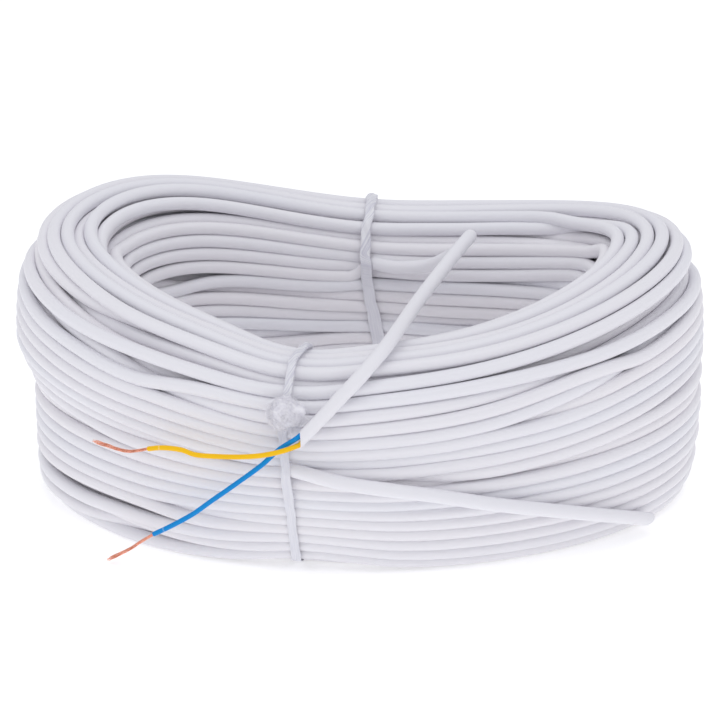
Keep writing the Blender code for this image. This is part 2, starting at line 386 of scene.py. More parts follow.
@functools.lru_cache(maxsize=None)
def sheath_finish():
    """Satin white sheath: faint cool and warm turns, drawn lines along it and a fine grain."""
    base = tuple(bpy.context.scene.coil_cable.sheath_colour)
    finish = Finish("white_sheath", {"Specular IOR Level": 0.42})
    where = finish.stored_place("cable_place")
    turn_shade = finish.stored("turn_shade")
    cloud = finish.noise(where, scale=14.0, detail=3.0)
    cool_warm = finish.blend(turn_shade, tinted(base, (0.985, 0.995, 1.015)),
                             tinted(base, (1.02, 1.0, 1.0)))
    patchy = finish.blend(finish.spread(cloud, 0.35, 0.7, 0.0, 0.55), cool_warm,
                          tinted(base, (1.01, 1.0, 1.0)))
    drawn = finish.stretched(where, (18.0, 900.0, 900.0), detail=3.0, roughness=0.6)
    grain = finish.noise(where, scale=2600.0, detail=2.0)
    rough = finish.spread(drawn + cloud * 0.6, 0.5, 1.2, 0.38, 0.54)
    normal = finish.bump(drawn * 0.6 + grain * 0.4, 0.10, 0.0004)
    return finish.set(Base_Color=patchy, Roughness=rough, Normal=normal)


# How far the insulation's crack strays along the core
CRACK_RAGGEDNESS = 0.0012


@functools.lru_cache(maxsize=None)
def insulation_finish(name, base, crack_at):
    """Glossy coloured insulation with a small pale crack near its stripped end."""
    finish = Finish(name, {"Specular IOR Level": 0.22})
    where = finish.stored_place("cable_place")
    cloud = finish.noise(where, scale=60.0, detail=3.0)
    drawn = finish.stretched(where, (30.0, 2400.0, 2400.0), detail=2.0)
    body = finish.blend(cloud, tinted(base, (0.93, 0.93, 0.93)),
                        tinted(base, (1.07, 1.06, 1.05)))
    ragged = finish.noise(where, scale=900.0, detail=2.0) * CRACK_RAGGEDNESS
    along = finish.node("SeparateXYZ", {}, {"Vector": where}) + ragged
    off = along - (crack_at + CRACK_RAGGEDNESS / 2)
    off = finish.node("Math", {"operation": "ABSOLUTE"}, {0: off})
    crack = finish.spread(off, 0.00010, 0.00045, 0.38, 0.0)
    pale = tuple(0.45 + 0.55 * value for value in base)
    cracked = finish.blend(crack, body, pale)
    rough = finish.spread(drawn, 0.3, 0.7, 0.26, 0.40)
    normal = finish.bump(drawn, 0.12, 0.0002)
    return finish.set(Base_Color=cracked, Roughness=rough, Normal=normal)


@functools.lru_cache(maxsize=None)
def copper_finish():
    """Bright bare copper, a little duller in patches."""
    base = tuple(bpy.context.scene.coil_cable.copper_colour)
    finish = Finish("copper_strands", {"Metallic": 0.9})
    where = finish.place()
    cloud = finish.noise(where, scale=260.0, detail=3.0)
    scratch = finish.stretched(where, (700.0, 3000.0, 3000.0), detail=2.0)
    body = finish.ramp(cloud, [(0.3, tinted(base, (0.80, 0.72, 0.66))), (0.55, base),
                               (0.8, tinted(base, (1.1, 1.16, 1.2)))])
    return finish.set(Base_Color=body, Roughness=finish.spread(scratch, 0.3, 0.7, 0.22, 0.38),
                      Normal=finish.bump(scratch, 0.15, 0.0001))


@functools.lru_cache(maxsize=None)
def twine_finish():
    """White film twine: fine lengthwise fibres, glossy where it is twisted and dull where flat, with
    painted highlight and shade in streaks that slant with the twist.
    """
    base = tuple(bpy.context.scene.coil_twine.twine_colour)
    finish = Finish("white_twine", {"Specular IOR Level": 0.55})
    where = finish.stored_place("cable_place")
    twisted = finish.stored("turn_shade")
    fibres = finish.stretched(where, (120.0, 5200.0, 5200.0), detail=3.0, roughness=0.65)
    streaks = finish.stretched(where, (45.0, 1300.0, 300.0), detail=2.0)
    body = finish.blend(finish.spread(fibres, 0.35, 0.65, 0.0, 1.0), tinted(base, (0.93, 0.93, 0.95)),
                        tinted(base, (1.06, 1.06, 1.05)))
    # Painted highlight and shade: lighter and darker streaks, full where the twine is twisted and
    # faint where it is flat.
    painted_highlight_and_shade = finish.blend(finish.spread(streaks, 0.40, 0.60, 0.0, 1.0),
                          tinted(base, (0.78, 0.77, 0.84)), tinted(base, (1.14, 1.14, 1.10)))
    shaded = finish.blend(0.15 + twisted * 0.45, body, painted_highlight_and_shade)
    rough = finish.spread(fibres, 0.3, 0.7, 0.28, 0.46) + (1 - twisted) * 0.22
    height = fibres * 0.5 + streaks * twisted
    return finish.set(Base_Color=shaded, Roughness=rough, Normal=finish.bump(height, 0.5, 0.0004))


@functools.lru_cache(maxsize=None)
def fluff_finish():
    """Loose fibres of the knot, very fine and pale: a lighter copy of the twine's colour, painted
    light that lifts the shade among them.
    """
    # Painted light: the twine's colour made lighter, to lift the shade that falls among the fibres.
    base = tinted(bpy.context.scene.coil_twine.twine_colour, (1.16, 1.15, 1.13))
    finish = Finish("twine_fluff", {"Specular IOR Level": 0.25})
    where = finish.place()
    cloud = finish.noise(where, scale=700.0, detail=3.0)
    body = finish.ramp(cloud, [(0.3, tinted(base, (0.95, 0.95, 0.97))),
                               (0.7, tinted(base, (1.04, 1.04, 1.03)))])
    return finish.set(Base_Color=body, Roughness=finish.spread(cloud, 0.3, 0.7, 0.42, 0.6),
                      Normal=finish.bump(cloud, 0.3, 0.0003))


@functools.lru_cache(maxsize=None)
def floor_finish():
    """Plain pale paper floor."""
    base = tuple(bpy.context.scene.coil_stage.floor_colour)
    finish = Finish("pale_floor", {"Specular IOR Level": 0.1, "Emission Color": (1.0, 1.0, 1.0),
                                   "Emission Strength": bpy.context.scene.coil_stage.floor_glow})
    where = finish.place()
    grain = finish.noise(where, scale=400.0, detail=2.0)
    body = finish.blend(grain, base, tinted(base, (1.01, 1.01, 1.01)))
    return finish.set(Base_Color=body, Roughness=finish.spread(grain, 0.3, 0.7, 0.85, 0.95),
                      Normal=finish.bump(grain, 0.02, 0.0002))


# ---- Meshes ----

def curve_between(a, b, c, d, t):
    """A smooth curve from b to c, which a and d continue, at a share of the way."""
    return 0.5 * (2 * b + (c - a) * t + (2 * a - 5 * b + 4 * c - d) * t ** 2
                  + (3 * b - a - 3 * c + d) * t ** 3)


# Steps of the curve between two points of a route
ROUTE_STEPS = 24


def smooth_route(points, spacing):
    """Points at an even spacing on a smooth curve through the route's own points."""
    knots = np.array(points, float)
    ends = np.vstack([2 * knots[0] - knots[1], knots, 2 * knots[-1] - knots[-2]])
    curve = [knots[0]]
    for four in zip(ends, ends[1:], ends[2:], ends[3:]):
        curve += [curve_between(*four, t) for t in np.linspace(0, 1, ROUTE_STEPS + 1)[1:]]
    return even_points(np.array(curve), spacing)


def reach_along(points):
    """How far along a line each of its points is."""
    return np.concatenate([[0], np.cumsum(np.linalg.norm(np.diff(points, axis=0), axis=1))])


def even_points(curve, spacing):
    """A line's points at an even spacing."""
    reach = reach_along(curve)
    marks = np.linspace(0, reach[-1], max(round(reach[-1] / spacing), 2) + 1)
    return np.stack([np.interp(marks, reach, values) for values in curve.T], axis=1)


def unit(vectors):
    """Vectors at a length of 1."""
    return vectors / np.linalg.norm(vectors, axis=-1, keepdims=True)


def stepped(values, low, high):
    """Smooth step from 0 to 1."""
    share = np.clip((values - low) / (high - low), 0, 1)
    return share * share * (3 - 2 * share)


def eased(values, passes):
    """Smooth a run of values or points that closes on itself."""
    for _ in range(passes):
        values = (np.roll(values, 1, 0) + 2 * values + np.roll(values, -1, 0)) / 4
    return values


def waves(values, parts):
    """A sum of sine waves, each given as (size, rate, start)."""
    return sum(size * np.sin(values * rate + start) for size, rate, start in parts)


def ring_frames(points):
    """Tangent, side and up vectors along a line, turned as little as possible."""
    tangents = unit(np.gradient(points, axis=0))
    up = np.array((0.0, 0.0, 1.0))
    ups = []
    for tangent in tangents:
        up = up - tangent * np.dot(up, tangent)
        up = up / np.linalg.norm(up)
        ups.append(up)
    ups = np.array(ups)
    return tangents, np.cross(tangents, ups), ups


def circle(sides):
    """Angles once round."""
    return np.linspace(0, math.tau, sides, endpoint=False)


def rings_round(side, up, sides):
    """Directions once round each point of a line."""
    turn = circle(sides)
    return np.cos(turn)[None, :, None] * side[:, None] + np.sin(turn)[None, :, None] * up[:, None]


def tube_places(along, radius, sides, bias):
    """The place along and round the cable for each point of a tube's surface."""
    turn = circle(sides)
    places = np.zeros((len(along), sides, 3))
    places[..., 0] = along[:, None]
    places[..., 1] = radius[:, None] * np.cos(turn)[None] + bias
    places[..., 2] = radius[:, None] * np.sin(turn)[None]
    return places


def ring_faces(rings, sides, closed=False):
    """Corner numbers of the quads between rings of points."""
    i = np.arange(rings if closed else rings - 1)[:, None]
    j = np.arange(sides)[None, :]
    after, beside = (i + 1) % rings, (j + 1) % sides
    quads = np.stack([i * sides + j, i * sides + beside, after * sides + beside, after * sides + j],
                     axis=-1)
    return quads.reshape(-1, 4)


class Shape:
    """Points, faces and stored values that are gathered into one mesh."""

    def __init__(self):
        self.points, self.faces, self.places, self.shades = [], [], [], []
        self.count = 0

    def add(self, points, faces, places=None, shades=0.0):
        """Add points and their faces, which count from the first of these points."""
        points = np.asarray(points, float).reshape(-1, 3)
        self.points.append(points)
        self.faces += [tuple(int(k) + self.count for k in face) for face in faces]
        self.places.append(points if places is None else np.asarray(places, float).reshape(-1, 3))
        self.shades.append(np.broadcast_to(np.asarray(shades, float).reshape(-1), (len(points),)))
        self.count += len(points)

    def add_tube(self, points, radius, sides, shades=0.0, caps=(True, True), frames=None,
                 start=0.0, bias=0.0):
        """A round tube with a radius for each point, and the place along and round it."""
        _, side, up = frames or ring_frames(points)
        radius = np.broadcast_to(np.asarray(radius, float).reshape(-1), (len(points),))
        surface = points[:, None] + radius[:, None, None] * rings_round(side, up, sides)
        places = tube_places(start + reach_along(points), radius, sides, bias)
        faces = list(ring_faces(len(points), sides))
        if caps[0]:
            faces.append(tuple(range(sides))[::-1])
        if caps[1]:
            faces.append(tuple((len(points) - 1) * sides + k for k in range(sides)))
        if np.ndim(shades):
            shades = np.repeat(np.asarray(shades, float), sides)
        self.add(surface, faces, places, shades)
        return surface

    def make(self, name, material, node=None, sharp_angle=50):
        """The mesh as an object that rides on the coil, in the place of a solid where it has one."""
        mesh = bpy.data.meshes.new(name)
        points = np.concatenate(self.points)
        mesh.from_pydata(points.tolist(), [], self.faces)
        place = mesh.attributes.new("cable_place", "FLOAT_VECTOR", "POINT")
        place.data.foreach_set("vector", np.concatenate(self.places).astype(np.float32).ravel())
        shade = mesh.attributes.new("turn_shade", "FLOAT", "POINT")
        shade.data.foreach_set("value", np.concatenate(self.shades).astype(np.float32))
        mesh.update()
        mesh.shade_smooth()
        mesh.set_sharp_from_angle(angle=math.radians(sharp_angle))
        mesh.materials.append(material)
        piece = bpy.data.objects.new(name, mesh)
        bpy.context.scene.collection.objects.link(piece)
        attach(piece, BODY)
        if node:
            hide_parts(node)
        return piece


# ---- The bundle's shape ----

def half_path_length():
    """Half the extent along X of the path through the bundle's middle."""
    winding = bpy.context.scene.coil_winding
    return (winding.coil_length - winding.width) / 2


def tie_angles():
    """Angles round the bore of the front tie and the back tie."""
    twine, half_length = bpy.context.scene.coil_twine, half_path_length()
    return math.tau - math.acos(twine.front_x / half_length), math.acos(twine.back_x / half_length)


def path_frame(angles):
    """Centres of the bundle in plan and its outward normals."""
    winding, half_length = bpy.context.scene.coil_winding, half_path_length()
    half_depth = (winding.coil_depth - winding.width) / 2
    pointing = winding.end_pointing
    cos, sin = np.cos(angles), np.sin(angles)
    narrowing = 1 - pointing * cos * cos
    slope = np.stack([-half_length * sin,
                      half_depth * (cos * narrowing + 2 * pointing * cos * sin * sin)], axis=-1)
    slope = unit(slope)
    centres = np.stack([half_length * cos, half_depth * sin * narrowing], axis=-1)
    return centres, np.stack([slope[..., 1], -slope[..., 0]], axis=-1)


def turn_between(angles, other):
    """Smallest turn from angles to another one, without its sign."""
    return np.abs((angles - other + math.pi) % math.tau - math.pi)


class Section:
    """The bundle's section at a run of angles round the bore. Points are (out, up)."""

    def __init__(self, angles):
        winding, twine = bpy.context.scene.coil_winding, bpy.context.scene.coil_twine
        near = []
        for tie in tie_angles():
            past = turn_between(angles, tie) * half_path_length() - twine.front_width / 2
            past = np.maximum(past, 0)
            near.append(np.exp(-(past / twine.pinch_spread) ** 2))
        pinch = np.maximum(*near)
        shoulder = turn_between(angles, winding.shoulder_angle) / winding.shoulder_spread
        height = winding.height + winding.end_rise * np.cos(2 * angles)
        height = height + winding.back_rise * np.sin(angles)
        height = height + winding.shoulder_rise * np.exp(-shoulder * shoulder)
        self.width = winding.width - 2 * pinch * twine.pinch
        self.height = height - near[0] * twine.front_dip - near[1] * twine.back_dip
        self.lift = pinch * twine.lift
        self.step = winding.left_step * np.maximum(-np.cos(angles), 0) ** 2
        self.foot = winding.foot_draw_in * np.sin(angles) ** 2
        self.step_height, self.step_span = winding.left_step_height, winding.left_step_span
        self.flat = winding.floor_flattening
        self.upper = winding.upper_squareness
        self.lower = winding.lower_squareness - winding.tie_rounding * pinch
        self.lower = self.lower + winding.left_squareness * np.maximum(-np.cos(angles), 0)
        self.half_width = self.width / 2
        self.half_height = (self.height + self.flat) / 2
        self.middle = (self.height - self.flat) / 2

    def shift(self, up):
        """How far the section is drawn in at a height."""
        share = np.clip(up / self.height, 0, 1)
        step = np.clip((self.step_height - up) / self.step_span + 0.5, 0, 1)
        return self.foot * (1 - share) ** 2 + self.step * step * step * (3 - 2 * step)

    def straighten(self, points):
        """Section points as shares of the half width and half height."""
        up = (points[..., 1] - self.lift) / (1 - self.lift / self.height)
        out = points[..., 0] + self.shift(up)
        return np.stack([out / self.half_width, (up - self.middle) / self.half_height], axis=-1)

    def bend_back(self, shares):
        """Section points from shares of the half width and half height."""
        up = shares[..., 1] * self.half_height + self.middle
        out = shares[..., 0] * self.half_width - self.shift(up)
        return np.stack([out, self.lift + up * (1 - self.lift / self.height)], axis=-1)

    def keep_inside(self, points, inset):
        """Move the points that lie outside the section, less an inset, back onto its edge."""
        shares = self.straighten(points)
        room_out = 1 - inset / self.half_width
        room_up = 1 - inset / self.half_height
        out, up = shares[..., 0] / room_out, shares[..., 1] / room_up
        power = np.where(up > 0, self.upper, self.lower)
        size = (np.abs(out) ** power + np.abs(up) ** power) ** (1 / power)
        back = 1 / np.maximum(size, 1)
        kept = self.bend_back(np.stack([out * back * room_out, up * back * room_up], axis=-1))
        kept[..., 1] = np.maximum(kept[..., 1], self.lift + inset)
        return kept


# How finely a route is followed through the sections
ROUTE_SPACING = 0.0005
# How far to either side of the path a route is looked for
ROUTE_REACH = 0.045


def route_in_sections(route, angles):
    """Where a route passes the vertical planes across the path: for an angle's number, (out, up)."""
    centres, normals = path_frame(angles)
    along = np.stack([-normals[:, 1], normals[:, 0]], axis=-1)
    found = {}
    dense = smooth_route(route, ROUTE_SPACING)
    for i in range(len(angles)):
        ahead = (dense[:, :2] - centres[i]) @ along[i]
        out = (dense[:, :2] - centres[i]) @ normals[i]
        near = np.where((ahead[:-1] * ahead[1:] <= 0) & (np.abs(out[:-1]) < ROUTE_REACH))[0]
        if len(near):
            k = near[0]
            found[i] = (out[k], dense[k, 2])
    return found


# ---- The winding ----

# Sections round the bore in which the turns are settled
STATIONS = 96
# How many turns round a turn are looked at, and after how many steps they are found again
NEAREST = 10
STEPS_NEAR = 6
# Where a turn is put at stations that it doesn't reach
PUT_AWAY = (0.5, 10.0)
# How square the grid of seats is, and how far every other column is moved up, in rows
SEAT_SQUARENESS = 3.4
SEAT_STAGGER = 0.9
# Rows, as shares of all, at which the inner end leaves the bore's wall and the outer end the outside
INNER_ROW, OUTER_ROW = 0.80, 0.50
# Period in turns and number of the waves in which the turns wander
WEAVE_PERIOD, WEAVE_WAVES = 1.1, 9
# Stations before the back tie at which the inner end already takes up room
INNER_APPROACH = 12
# Steps, first and last reach in diameters and smoothing of each stage of settling the turns
STAGES = ((200, 0.20, 1.10, 0.50), (60, 1.08, 1.02, 0.50), (24, 1.01, 1.00, 0.35))
SMOOTHING_PASSES = 3
PUSH_SHARE = 0.62
# Outward pressure where the section is larger, which fades over the first steps
OUTWARD_PRESSURE = 0.012
PRESSED_STEPS = 240


def seat_grid(columns, rows):
    """Seats across a section of sides 2, in columns of equal rows that bend along its edge."""
    out, up = np.meshgrid(np.linspace(-1, 1, columns), np.linspace(-1, 1, rows), indexing="ij")
    up = up + np.where(np.arange(columns) % 2, 0.5, -0.5)[:, None] * (SEAT_STAGGER / rows)
    largest = np.maximum(np.abs(out), np.abs(up))
    rounded = np.abs(out) ** SEAT_SQUARENESS + np.abs(up) ** SEAT_SQUARENESS
    rounded = rounded ** (1 / SEAT_SQUARENESS)
    factor = largest / np.maximum(rounded, 1e-6)
    return np.stack([out * factor, up * factor], axis=-1)


def seat_order(columns, rows, first_row, last_row):
    """A walk through all seats from the innermost column to the outermost, as (column, row)."""
    walk = [(0, r) for r in range(first_row, rows)]
    walk += [(1, r) for r in range(rows - 1, first_row - 1, -1)]
    flip = False
    for r in range(first_row - 1, -1, -1):
        walk += [(0, r), (1, r)] if flip else [(1, r), (0, r)]
        flip = not flip
    at_bottom = True
    for c in range(2, columns - 2):
        walk += [(c, r) for r in (range(rows) if at_bottom else range(rows - 1, -1, -1))]
        at_bottom = not at_bottom
    a, b = columns - 2, columns - 1
    flip = False
    if at_bottom:
        pairs, rest = range(last_row), range(last_row, rows)
    else:
        pairs, rest = range(rows - 1, last_row, -1), range(last_row, -1, -1)
    for r in pairs:
        walk += [(b, r), (a, r)] if flip else [(a, r), (b, r)]
        flip = not flip
    walk += [(a, r) for r in rest]
    walk += [(b, r) for r in reversed(rest)]
    return walk


def wandering(rng, size, period, count):
    """Smooth random offsets along the cable, two for each point, of about one unit."""
    total = np.zeros((size, 2))
    where = np.arange(size)[:, None]
    for _ in range(count):
        wave = rng.uniform(0.5, 1.5) * math.tau / period
        start = rng.uniform(0, math.tau, 2)
        swell = np.sin(where * wave * rng.uniform(0.05, 0.22) + rng.uniform(0, math.tau, 2))
        total += np.sin(where * wave + start) * swell
    return total * math.sqrt(2.0 / count)


def find_near(points):
    """For each point of each section, the numbers of the points nearest to it."""
    gap = points[:, :, None] - points[:, None]
    far = gap[..., 0] ** 2 + gap[..., 1] ** 2
    return np.argpartition(far, NEAREST, axis=2)[:, :, :NEAREST + 1]


def push_apart(points, near, reach):
    """Half of what each point has to move so that its near ones are a reach away."""
    others = points[np.arange(len(points))[:, None, None], near]
    gap = points[:, :, None] - others
    far = np.sqrt(gap[..., 0] ** 2 + gap[..., 1] ** 2)
    lack = np.where(far > 1e-7, np.maximum(reach - far, 0), 0)
    return 0.5 * (gap * (lack / np.maximum(far, 1e-7))[..., None]).sum(axis=2)


@functools.lru_cache(maxsize=None)
def laid_turns():
    """The cable's centre as (out, up) for each station and turn, from the inner end to the outer."""
    winding, cable = bpy.context.scene.coil_winding, bpy.context.scene.coil_cable
    front, back = tie_angles()
    size = cable.diameter
    angles = back + np.arange(STATIONS) * math.tau / STATIONS
    section = Section(angles)
    seats = seat_grid(winding.columns, winding.rows)
    first_row, last_row = (round(winding.rows * share) for share in (INNER_ROW, OUTER_ROW))
    order = seat_order(winding.columns, winding.rows, first_row, last_row)
    walk = np.array([seats[c, r] for c, r in order])
    turns = len(walk) - 1
    count = turns * STATIONS
    rng = np.random.default_rng(winding.seed)
    share = (np.arange(count) % STATIONS / STATIONS)[:, None]
    k = np.arange(count) // STATIONS
    line = walk[k] * (1 - share) + walk[k + 1] * share
    room = np.array([1 - size / winding.width, 1 - size / winding.height])
    line = line * room
    drift = wandering(rng, count, STATIONS * WEAVE_PERIOD, WEAVE_WAVES) * winding.weave * size
    line = line + drift / np.array([winding.width / 2, winding.height / 2])

    last = math.floor((front - back) / math.tau * STATIONS)
    held = np.zeros((STATIONS, turns + 1), bool)
    held_at = np.zeros((STATIONS, turns + 1, 2))
    held[:, turns], held_at[:, turns] = True, PUT_AWAY
    held[last + 1:, turns - 1], held_at[last + 1:, turns - 1] = True, PUT_AWAY
    for i, place in route_in_sections(OUTER_END_ROUTE, angles).items():
        held_at[i, turns - 1] = place
    for i, place in route_in_sections(INNER_END_ROUTE, angles).items():
        if i > STATIONS - INNER_APPROACH:
            held_at[i, turns] = place
    centres, normals = path_frame(angles[:1])
    start = np.array(INNER_END_ROUTE[0])
    held[0, 0], held_at[0, 0] = True, ((start[:2] - centres[0]) @ normals[0], start[2])
    ends_at = (turns - 1) * STATIONS + last + 1

    points = section.bend_back(line.reshape(turns, STATIONS, 2)).transpose(1, 0, 2)
    points = np.concatenate([points, np.zeros((STATIONS, 1, 2))], axis=1)
    points[held] = held_at[held]
    area = section.width * section.height
    roomier = np.sqrt(area / area.min()) - 1
    outward = np.tile(roomier, turns)[:, None]
    step = 0
    for steps, first_reach, last_reach, smoothing in STAGES:
        for reach in np.linspace(first_reach, last_reach, steps):
            if step % STEPS_NEAR == 0:
                near = find_near(points)
            step += 1
            flat = section.straighten(points[:, :turns].transpose(1, 0, 2)).reshape(-1, 2)
            for _ in range(SMOOTHING_PASSES):
                mean = flat.copy()
                mean[1:-1] = (flat[:-2] + flat[2:]) / 2
                mean[ends_at:] = flat[ends_at:]
                flat = flat + smoothing * (mean - flat)
            flat = flat * (1 + outward * OUTWARD_PRESSURE * max(1 - step / PRESSED_STEPS, 0))
            points[:, :turns] = section.bend_back(flat.reshape(turns, STATIONS, 2)).transpose(1, 0, 2)
            points[held] = held_at[held]
            points = points + push_apart(points, near, reach * size) * PUSH_SHARE
            points = section.keep_inside(points.transpose(1, 0, 2), size / 2).transpose(1, 0, 2)
            points[held] = held_at[held]
    return points, angles


def cable_run(start, end, per_turn):
    """World points of a stretch of the cable, from one place along it to another, in stations."""
    points, angles = laid_turns()
    turns = points.shape[1] - 1
    flat = points[:, :turns].transpose(1, 0, 2).reshape(-1, 2)
    flat = np.vstack([points[-1:, turns], flat])
    where = np.linspace(start, end, max(int(round((end - start) / STATIONS * per_turn)), 2) + 1)
    k = np.clip(np.floor(where).astype(int) + 1, 1, len(flat) - 3)
    place = curve_between(flat[k - 1], flat[k], flat[k + 1], flat[np.minimum(k + 2, len(flat) - 1)],
                          (where + 1 - k)[:, None])
    centres, normals = path_frame(angles[0] + where * math.tau / STATIONS)
    plan = centres + normals * place[:, :1]
    return np.column_stack([plan, place[:, 1]]) + BORE_AXIS


# A turn counts as shown when it lies within this depth, in diameters, at this share of its length
SHOWN_DEPTH, SHOWN_SHARE = 1.75, 0.04


def turns_shown():
    """Which turns come near the bundle's surface anywhere."""
    points, angles = laid_turns()
    section = Section(angles)
    inset = SHOWN_DEPTH * bpy.context.scene.coil_cable.diameter
    shares = section.straighten(points.transpose(1, 0, 2))
    out = shares[..., 0] / (1 - inset / section.half_width)
    up = shares[..., 1] / (1 - inset / section.half_height)
    power = np.where(up > 0, section.upper, section.lower)
    edge = (np.abs(out) ** power + np.abs(up) ** power) > 1
    return edge.mean(axis=1)[:-1] > SHOWN_SHARE


# Sides and rings of the turns that show and of the buried ones, and the most turns in a piece
TURN_KINDS = {"shown": (12, 144, 26), "buried": (7, 96, 78)}
SHADE_SEED = 31
# How far apart turns lie in their finish, along the cable and across it
NEXT_START, NEXT_BIAS, BIASES = 0.7, 0.02, 7


def turn_line(k, turns, rings):
    """A turn's points with their frames, which run on into the turns before and after."""
    start = k * STATIONS
    end = start + STATIONS
    if k == turns - 1:
        front, back = tie_angles()
        end = start + (front - back) / math.tau * STATIONS
    run = cable_run(start, end, rings)
    before = cable_run(start - 1, start, rings)[-2:-1] if k else run[:1] * 2 - run[1:2]
    after = run[-1:] * 2 - run[-2:-1]
    if k < turns - 1:
        after = cable_run(end, end + 1, rings)[1:2]
    longer = np.vstack([before, run, after])
    tangents = unit(longer[2:] - longer[:-2])
    side = unit(np.cross(tangents, (0.0, 0.0, 1.0)))
    return run, (tangents, side, np.cross(side, tangents))


def make_winding():
    """The turns as tubes, fine where they show, in pieces that stand for the bundle."""
    radius = bpy.context.scene.coil_cable.diameter / 2
    shown = turns_shown()
    turns = len(shown)
    shade = np.random.default_rng(SHADE_SEED).uniform(0, 1, turns + 2)
    for kind, (sides, rings, most) in TURN_KINDS.items():
        numbers = [k for k in range(turns) if shown[k] == (kind == "shown")]
        pieces = max(math.ceil(len(numbers) / most), 1)
        for part in range(pieces):
            shape = Shape()
            for k in numbers[part * len(numbers) // pieces:(part + 1) * len(numbers) // pieces]:
                run, frames = turn_line(k, turns, rings)
                blend = np.linspace(0, 1, len(run))
                tones = shade[k] * (1 - blend) + shade[k + 1] * blend
                shape.add_tube(run, radius, sides, tones, (False, False), frames,
                               start=k * NEXT_START, bias=(k % BIASES) * NEXT_BIAS)
            shape.make(f"{kind}_turns_{part + 1}", sheath_finish(), "coil_winding")


# ---- Free ends ----

# Sides of a free end and the spacing of its rings, in diameters
SHEATH_SIDES, SHEATH_SPACING = 24, 0.45
# Where the free ends lie in the sheath's finish, across the cable and in its shades
SHEATH_BIAS, SHEATH_SHADE = 0.09, 0.35
# Length over which a free end narrows towards its cut
NARROWING_REACH = 0.035
# Rings counted back from a slanted cut, and the share of its slant that each takes
SLANTED_RINGS = ((1, 1.0), (2, 0.7), (3, 0.35))


def make_sheath_tube(name, node, route, slant, slant_towards, bore, narrowing=0.0):
    """A stretch of cable with a slanted cut, hollow at its end where its cores leave it."""
    cable = bpy.context.scene.coil_cable
    points = smooth_route(route, cable.diameter * SHEATH_SPACING) + BORE_AXIS
    left = np.linspace(line_length(points), 0, len(points))
    radius = cable.diameter / 2 * (1 - narrowing * (1 - stepped(left, 0.0, NARROWING_REACH)))
    tangents, side, up = ring_frames(points)
    ring = rings_round(side, up, SHEATH_SIDES)
    surface = points[:, None] + radius[:, None, None] * ring
    lean = np.array(slant_towards, float)
    lean = lean - tangents[-1] * np.dot(lean, tangents[-1])
    lean /= np.linalg.norm(lean)

    def slanted(ring_points, centre, share=1.0):
        offset = (ring_points - centre) @ lean
        return ring_points + np.outer(offset * slant * share, tangents[-1])

    # Rings over the cut's rounded edges and down its bore: how far in, and how far back
    rims = []
    for inset, back in ((0.00008, 0.0), (0.00030, -0.00006), (cable.sheath_wall * 0.85, 0.00002),
                        (cable.sheath_wall, 0.00030), (cable.sheath_wall, bore)):
        centre = points[-1] - tangents[-1] * back
        rims.append(slanted(centre + (radius[-1] - inset) * ring[-1], centre))
    for back, share in SLANTED_RINGS:
        surface[-back] = slanted(surface[-back], points[-back], share)
    rings = np.concatenate([surface, np.array(rims)])
    along = reach_along(points)
    along = np.concatenate([along, np.full(len(rims), along[-1])])
    places = tube_places(along, np.full(len(along), cable.diameter / 2), SHEATH_SIDES, SHEATH_BIAS)
    faces = list(ring_faces(len(rings), SHEATH_SIDES))
    faces.append(tuple((len(rings) - 1) * SHEATH_SIDES + k for k in range(SHEATH_SIDES)))
    shape = Shape()
    shape.add(rings, faces, places, SHEATH_SHADE)
    return shape.make(name, sheath_finish(), node, 40), points


def line_length(points):
    """The length of a line through points."""
    return float(np.linalg.norm(np.diff(points, axis=0), axis=1).sum())


def make_free_ends():
    """The two ends of the cable outside the winding, with their cut faces."""
    inner, inner_points = make_sheath_tube(
        "inner_cable_end", "inner_end", INNER_END_ROUTE, slant=-0.95, slant_towards=(-1.0, 0.0, 1.0),
        bore=0.009, narrowing=0.10)
    outer, outer_points = make_sheath_tube(
        "outer_cable_end", "outer_end", OUTER_END_ROUTE, slant=0.75, slant_towards=(0.2, -0.2, 1.0),
        bore=0.0012)
    faces = make_cut_faces(outer_points)


# Which way the two cores lie in the outer end's cut, as shares of up and side
CUT_LEAN = (0.9, 0.43)
# How wide the copper in the cut is, as a share of its core
COPPER_SHARE = 0.27


def make_cut_faces(points):
    """The two cores as they show in the outer end's cut."""
    core = bpy.context.scene.coil_cable.core_diameter
    tangent, side, up = (part[-1] for part in ring_frames(points))
    across = np.cross(tangent, unit(up * CUT_LEAN[0] + side * CUT_LEAN[1]))
    middles = {"yellow": points[-1] + across * core * 0.5, "blue": points[-1] - across * core * 0.5}
    pieces = []
    for hue, middle in middles.items():
        shape = Shape()
        shape.add_tube(middle + np.outer(np.linspace(-0.0030, -0.0002, 6), tangent), core / 2, 16)
        pieces.append(shape.make(f"outer_{hue}_face", core_finish(hue)))
    shape = Shape()
    for middle in middles.values():
        line = middle + np.outer(np.linspace(-0.0010, -0.00005, 3), tangent)
        shape.add_tube(line, core * COPPER_SHARE, 14)
    return pieces + [shape.make("outer_copper_faces", copper_finish())]


# Sides of a core and the spacing of its rings, in diameters
CORE_SIDES, CORE_SPACING = 18, 0.35
# How finely a core is measured to find its crack
CRACK_SPACING = 0.001
# How much a core narrows at its stripped end, and how wide and deep its mouth is there
END_NARROWING, MOUTH_WIDTH, MOUTH_DEPTH = 0.90, 0.62, 0.0012
# For each core: its route, where along it the crack is, and its strands' route, seed and splay
CORES = {
    "yellow": (YELLOW_CORE_ROUTE, 0.92, YELLOW_STRANDS_ROUTE, 3, 0.0008),
    "blue": (BLUE_CORE_ROUTE, 0.93, BLUE_STRANDS_ROUTE, 5, 0.0006),
}


def core_finish(hue):
    """The insulation of one core."""
    route, crack_share = CORES[hue][:2]
    base = tuple(getattr(bpy.context.scene.coil_cable, f"{hue}_colour"))
    crack_at = crack_share * line_length(smooth_route(route, CRACK_SPACING))
    return insulation_finish(f"{hue}_insulation", base, crack_at)


